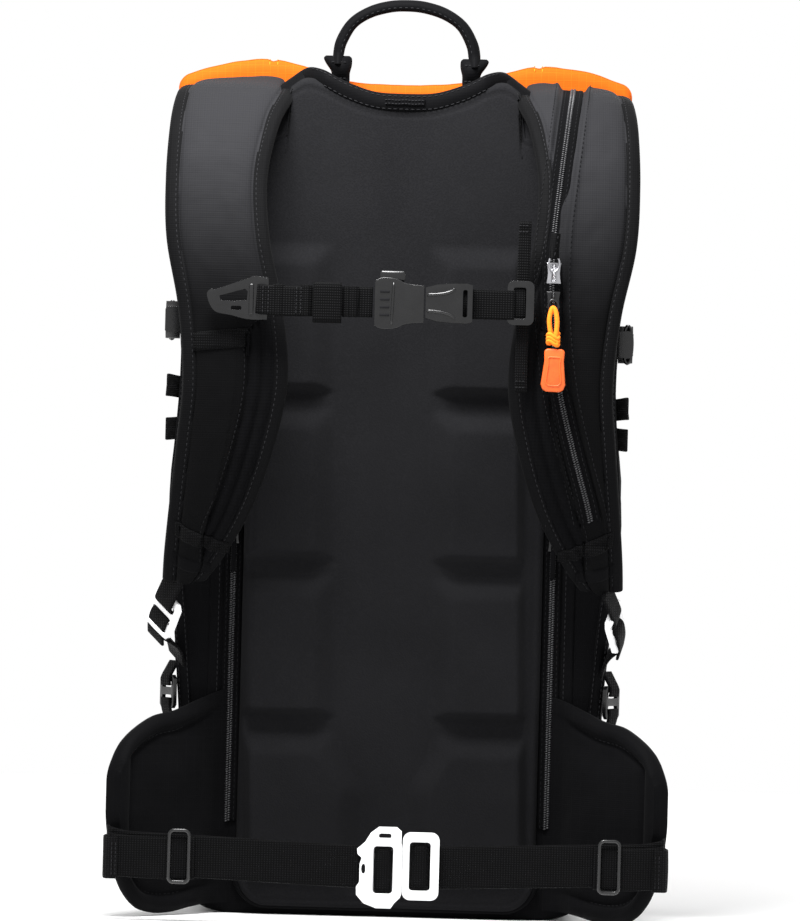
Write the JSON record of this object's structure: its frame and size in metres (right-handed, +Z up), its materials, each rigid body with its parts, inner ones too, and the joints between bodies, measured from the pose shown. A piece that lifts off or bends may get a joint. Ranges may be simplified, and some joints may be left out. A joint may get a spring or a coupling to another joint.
{
  "type": "avalanche airbag backpack",
  "caption": "Ski touring backpack with moulded back panel, padded harness, hip belt, chest strap and a gas-driven avalanche airbag under an orange hood.",
  "frame": {"origin": "centre of the flat base of the bag, on the floor plane", "axes": "+Z up along the back, harness side faces -Y, wearer's left is +X"},
  "size_m": [0.3652, 0.2867, 0.6052],
  "materials": {
    "shell_fabric": "woven ripstop nylon, matt",
    "panel_foam": "thermoformed foam with knit facing",
    "strap_fabric": "fine ripstop over foam",
    "hood_fabric": "orange coated nylon",
    "airbag_fabric": "thin coated nylon",
    "pull_rubber": "orange moulded plastic",
    "webbing": "woven polyester webbing",
    "zip_tape": "zip tape with moulded coil",
    "buckle_plastic": "satin acetal",
    "alloy": "anodised, satin",
    "steel": "bright steel",
    "slider_metal": "plated zinc",
    "frame_sheet": "extruded polyethylene sheet"
  },
  "bodies": {
    "pack": {"pack_shell": "shell_fabric", "front_pocket": "shell_fabric", "back_panel": "panel_foam", "shoulder_strap_left": "strap_fabric", "shoulder_strap_right": "strap_fabric", "yoke_base": "strap_fabric", "airbag_hood": "hood_fabric", "airbag_folded": "airbag_fabric", "handle_tab_left": "webbing", "handle_tab_right": "webbing", "chest_rail_left": "webbing", "strap_webbing_left": "webbing", "strap_webbing_right": "webbing", "side_webbing_left": "webbing", "side_webbing_right": "webbing", "back_zip_left": "zip_tape", "back_zip_right": "zip_tape", "strap_zip": "zip_tape", "side_buckle_socket_left": "buckle_plastic", "side_buckle_socket_right": "buckle_plastic", "inflation_unit": "buckle_plastic", "air_duct": "buckle_plastic", "trigger_cable": "buckle_plastic", "frame_stay_left": "alloy", "frame_stay_right": "alloy", "gas_cartridge": "alloy", "pin_spring": "steel", "frame_sheet": "frame_sheet"},
    "haul_handle": {"haul_handle": "webbing"},
    "back_zip_slider_right": {"back_zip_slider_right": "slider_metal"},
    "hip_wing_right": {"hip_wing_right": "shell_fabric"},
    "hip_belt_right": {"hip_webbing_right": "webbing", "hip_keeper_right": "buckle_plastic", "hip_buckle_hook": "alloy", "hip_buckle_bar": "alloy"},
    "strap_lock_right": {"strap_lock_right": "alloy"},
    "stabiliser_lock_right": {"stabiliser_lock_right": "alloy"},
    "side_prong_right": {"side_buckle_prong_right": "buckle_plastic"},
    "back_zip_slider_left": {"back_zip_slider_left": "slider_metal"},
    "hip_wing_left": {"hip_wing_left": "shell_fabric"},
    "hip_belt_left": {"hip_webbing_left": "webbing", "hip_keeper_left": "buckle_plastic", "hip_buckle_frame": "alloy"},
    "strap_lock_left": {"strap_lock_left": "alloy"},
    "stabiliser_lock_left": {"stabiliser_lock_left": "alloy"},
    "side_prong_left": {"side_buckle_prong_left": "buckle_plastic"},
    "strap_zip_upper": {"strap_zip_slider_upper": "slider_metal"},
    "strap_zip_upper_pull": {"strap_zip_pull_upper": "strap_fabric"},
    "strap_zip_lower": {"strap_zip_slider_lower": "slider_metal"},
    "strap_zip_lower_pull": {"pull_loop": "pull_rubber", "pull_tab": "pull_rubber"},
    "chest_strap": {"chest_slider_right": "buckle_plastic", "chest_slider_left": "buckle_plastic", "chest_webbing_right": "webbing", "chest_webbing_left": "webbing", "chest_keeper": "webbing", "chest_buckle_socket": "buckle_plastic"},
    "chest_prong": {"chest_buckle_prong": "buckle_plastic"},
    "trigger": {"trigger_grip": "pull_rubber"},
    "puncture_pin": {"puncture_pin": "steel"}
  },
  "joints": [
    {"name": "haul_handle_swing", "type": "hinge", "parent": "pack", "child": "haul_handle", "pos_m": [0, -0.064, 0.5565], "axis": [1, 0, 0], "range_deg": [-78, 78], "stiffness_Nm_per_rad": 0.02},
    {"name": "back_zip_slide_right", "type": "slide", "parent": "pack", "child": "back_zip_slider_right", "axis": [0, 0, -1], "range_m": [0, 0.16]},
    {"name": "hip_wing_fold_right", "type": "hinge", "parent": "pack", "child": "hip_wing_right", "pos_m": [-0.117, -0.092, 0.07], "axis": [0, 0, -1], "range_deg": [0, 28]},
    {"name": "hip_belt_open_right", "type": "hinge", "parent": "hip_wing_right", "child": "hip_belt_right", "pos_m": [-0.1818, -0.15, 0.04], "axis": [0, 0, -1], "range_deg": [0, 70]},
    {"name": "strap_lock_tilt_right", "type": "hinge", "parent": "pack", "child": "strap_lock_right", "pos_m": [-0.14507, -0.11893, 0.2078], "axis": [-0.5476, 0.6678, 0.5042], "range_deg": [0, 22]},
    {"name": "stabiliser_lock_tilt_right", "type": "hinge", "parent": "pack", "child": "stabiliser_lock_right", "pos_m": [-0.146, -0.074, 0.155], "axis": [-0.5, 0.866, 0], "range_deg": [0, 20]},
    {"name": "side_buckle_release_right", "type": "slide", "parent": "pack", "child": "side_prong_right", "axis": [0, 1, 0], "range_m": [0, 0.018]},
    {"name": "back_zip_slide_left", "type": "slide", "parent": "pack", "child": "back_zip_slider_left", "axis": [0, 0, -1], "range_m": [0, 0.16]},
    {"name": "hip_wing_fold_left", "type": "hinge", "parent": "pack", "child": "hip_wing_left", "pos_m": [0.117, -0.092, 0.07], "axis": [0, 0, 1], "range_deg": [0, 28]},
    {"name": "hip_belt_open_left", "type": "hinge", "parent": "hip_wing_left", "child": "hip_belt_left", "pos_m": [0.1818, -0.15, 0.04], "axis": [0, 0, 1], "range_deg": [0, 70]},
    {"name": "strap_lock_tilt_left", "type": "hinge", "parent": "pack", "child": "strap_lock_left", "pos_m": [0.14262, -0.12076, 0.20495], "axis": [-0.224, -0.7691, -0.5986], "range_deg": [0, 22]},
    {"name": "stabiliser_lock_tilt_left", "type": "hinge", "parent": "pack", "child": "stabiliser_lock_left", "pos_m": [0.146, -0.074, 0.155], "axis": [-0.5, -0.866, 0], "range_deg": [0, 20]},
    {"name": "side_buckle_release_left", "type": "slide", "parent": "pack", "child": "side_prong_left", "axis": [0, 1, 0], "range_m": [0, 0.018]},
    {"name": "strap_zip_upper_slide", "type": "slide", "parent": "pack", "child": "strap_zip_upper", "axis": [0, 0.14, 0.9901], "range_m": [0, 0.03]},
    {"name": "strap_zip_upper_pull_swing", "type": "hinge", "parent": "strap_zip_upper", "child": "strap_zip_upper_pull", "pos_m": [0.0985, -0.1758, 0.4225], "axis": [1, 0, 0], "range_deg": [0, 110]},
    {"name": "strap_zip_lower_slide", "type": "slide", "parent": "pack", "child": "strap_zip_lower", "axis": [0.1004, -0.0502, -0.9937], "range_m": [0, 0.03]},
    {"name": "strap_zip_lower_pull_swing", "type": "hinge", "parent": "strap_zip_lower", "child": "strap_zip_lower_pull", "pos_m": [0.0985, -0.179, 0.401], "axis": [-1, 0, 0], "range_deg": [0, 80]},
    {"name": "chest_strap_height", "type": "slide", "parent": "pack", "child": "chest_strap", "axis": [0, 0, 1], "range_m": [-0.03, 0.03]},
    {"name": "chest_buckle_release", "type": "slide", "parent": "chest_strap", "child": "chest_prong", "axis": [1, 0, 0], "range_m": [0, 0.022]},
    {"name": "trigger_pull", "type": "slide", "parent": "pack", "child": "trigger", "axis": [0, 0, -1], "range_m": [0, 0.015]},
    {"name": "pin_stroke", "type": "slide", "parent": "pack", "child": "puncture_pin", "axis": [0, 0, -1], "range_m": [0, 0.0045], "deforming": ["pin_spring"]}
  ],
  "couplings": [
    {"joint": "pin_stroke", "follows": "trigger_pull", "ratio": 0.3}
  ]
}
